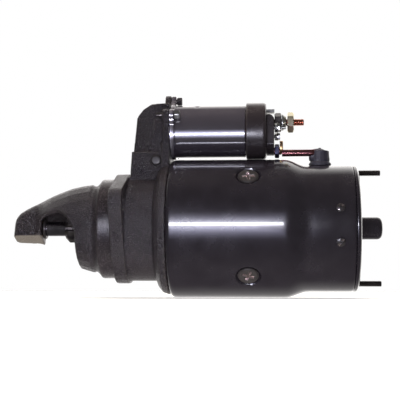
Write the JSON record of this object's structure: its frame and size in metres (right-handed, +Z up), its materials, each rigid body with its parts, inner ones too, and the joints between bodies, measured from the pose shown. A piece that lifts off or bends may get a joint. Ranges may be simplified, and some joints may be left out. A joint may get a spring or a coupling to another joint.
{
  "type": "starter motor",
  "caption": "Engine starter motor with a nose housing, two-ear flange, overhead solenoid and lever-shifted overrunning pinion drive.",
  "frame": {"origin": "on the shaft's axis, in the plane of the mounting flange's front face", "axes": "+X along the shaft from the nose to the commutator end, +Z up from the shaft to the solenoid, -Y the near side"},
  "size_m": [0.3052, 0.1174, 0.1688],
  "materials": {
    "housing_black": "grainy satin black paint over cast iron",
    "frame_black": "gloss black paint",
    "case_black": "high gloss black",
    "cap_black": "moulded, satin",
    "bronze": "sintered bronze",
    "dark_steel": "dark, oiled",
    "screw_steel": "painted over, bare in the recess",
    "bright_steel": "machined",
    "zinc": "zinc plated",
    "coil_copper": "varnished copper",
    "bare_copper": "bare copper",
    "carbon": "copper graphite",
    "yellow_zinc": "yellow passivated",
    "blue_steel": "blued",
    "rubber_black": "matt"
  },
  "bodies": {
    "frame": {"drive_housing": "housing_black", "field_frame": "frame_black", "commutator_end_frame": "frame_black", "solenoid_case": "case_black", "solenoid_cap": "cap_black", "nose_bushing": "bronze", "rear_bushing": "bronze", "pole_shoe_1": "dark_steel", "pole_shoe_2": "dark_steel", "pole_shoe_3": "dark_steel", "pole_shoe_4": "dark_steel", "through_bolt_upper": "dark_steel", "through_bolt_lower": "dark_steel", "battery_inner_nut": "dark_steel", "lever_pin": "dark_steel", "brush_holder_screw_1": "dark_steel", "brush_holder_screw_2": "dark_steel", "pole_screw_1": "screw_steel", "pole_screw_2": "screw_steel", "pole_screw_3": "screw_steel", "pole_screw_4": "screw_steel", "solenoid_core": "bright_steel", "solenoid_screw_1": "zinc", "solenoid_screw_2": "zinc", "solenoid_screw_3": "zinc", "switch_terminal": "zinc", "relay_terminal": "zinc", "cap_tab": "zinc", "battery_washer": "zinc", "brush_plate": "zinc", "field_coil_1": "coil_copper", "field_coil_2": "coil_copper", "field_coil_3": "coil_copper", "field_coil_4": "coil_copper", "solenoid_coil": "coil_copper", "battery_stud": "bare_copper", "motor_stud": "bare_copper", "field_lead": "bare_copper", "battery_outer_nut": "yellow_zinc", "motor_nut": "blue_steel", "lead_boot": "rubber_black"},
    "armature": {"armature_shaft": "bright_steel", "armature_core": "dark_steel", "armature_winding": "coil_copper", "commutator": "bare_copper", "pinion_stop": "dark_steel"},
    "drive": {"drive_clutch": "bright_steel", "shift_collar": "bright_steel", "collar_snap_ring": "dark_steel", "drive_spring": "dark_steel"},
    "pinion": {"pinion": "dark_steel"},
    "lever": {"shift_lever": "bright_steel"},
    "plunger": {"plunger": "bright_steel", "plunger_spring": "bright_steel"},
    "contact": {"contact_disc": "bare_copper"},
    "brush_1_body": {"brush_1": "carbon"},
    "brush_2_body": {"brush_2": "carbon"},
    "brush_3_body": {"brush_3": "carbon"},
    "brush_4_body": {"brush_4": "carbon"}
  },
  "joints": [
    {"name": "armature_spin", "type": "hinge", "parent": "frame", "child": "armature", "pos_m": [0, 0, 0], "axis": [1, 0, 0], "continuous": true},
    {"name": "drive_slide", "type": "slide", "parent": "armature", "child": "drive", "axis": [-1, 0, 0], "range_m": [0, 0.016]},
    {"name": "pinion_overrun", "type": "hinge", "parent": "drive", "child": "pinion", "pos_m": [0, 0, 0], "axis": [1, 0, 0], "continuous": true},
    {"name": "lever_swing", "type": "hinge", "parent": "frame", "child": "lever", "pos_m": [0.0335, 0, 0.0555], "axis": [0, 1, 0], "range_deg": [0, 16.5]},
    {"name": "plunger_slide", "type": "slide", "parent": "frame", "child": "plunger", "axis": [1, 0, 0], "range_m": [0, 0.0074], "stiffness_N_per_m": 900, "springref_m": -0.03, "deforming": ["plunger_spring"]},
    {"name": "contact_slide", "type": "slide", "parent": "frame", "child": "contact", "axis": [1, 0, 0], "range_m": [0, 0.0022]},
    {"name": "brush_1_slide", "type": "slide", "parent": "frame", "child": "brush_1_body", "axis": [0, 0.7071, 0.7071], "range_m": [0, 0.003], "stiffness_N_per_m": 500, "springref_m": -0.012},
    {"name": "brush_2_slide", "type": "slide", "parent": "frame", "child": "brush_2_body", "axis": [0, -0.7071, 0.7071], "range_m": [0, 0.003], "stiffness_N_per_m": 500, "springref_m": -0.012},
    {"name": "brush_3_slide", "type": "slide", "parent": "frame", "child": "brush_3_body", "axis": [0, -0.7071, -0.7071], "range_m": [0, 0.003], "stiffness_N_per_m": 500, "springref_m": -0.012},
    {"name": "brush_4_slide", "type": "slide", "parent": "frame", "child": "brush_4_body", "axis": [0, 0.7071, -0.7071], "range_m": [0, 0.003], "stiffness_N_per_m": 500, "springref_m": -0.012}
  ],
  "couplings": [
    {"joint": "lever_swing", "follows": "plunger_slide", "rad_per_m": 38.9},
    {"joint": "drive_slide", "follows": "plunger_slide", "ratio": 2.16},
    {"joint": "contact_slide", "follows": "plunger_slide", "ratio": 0.2972}
  ]
}
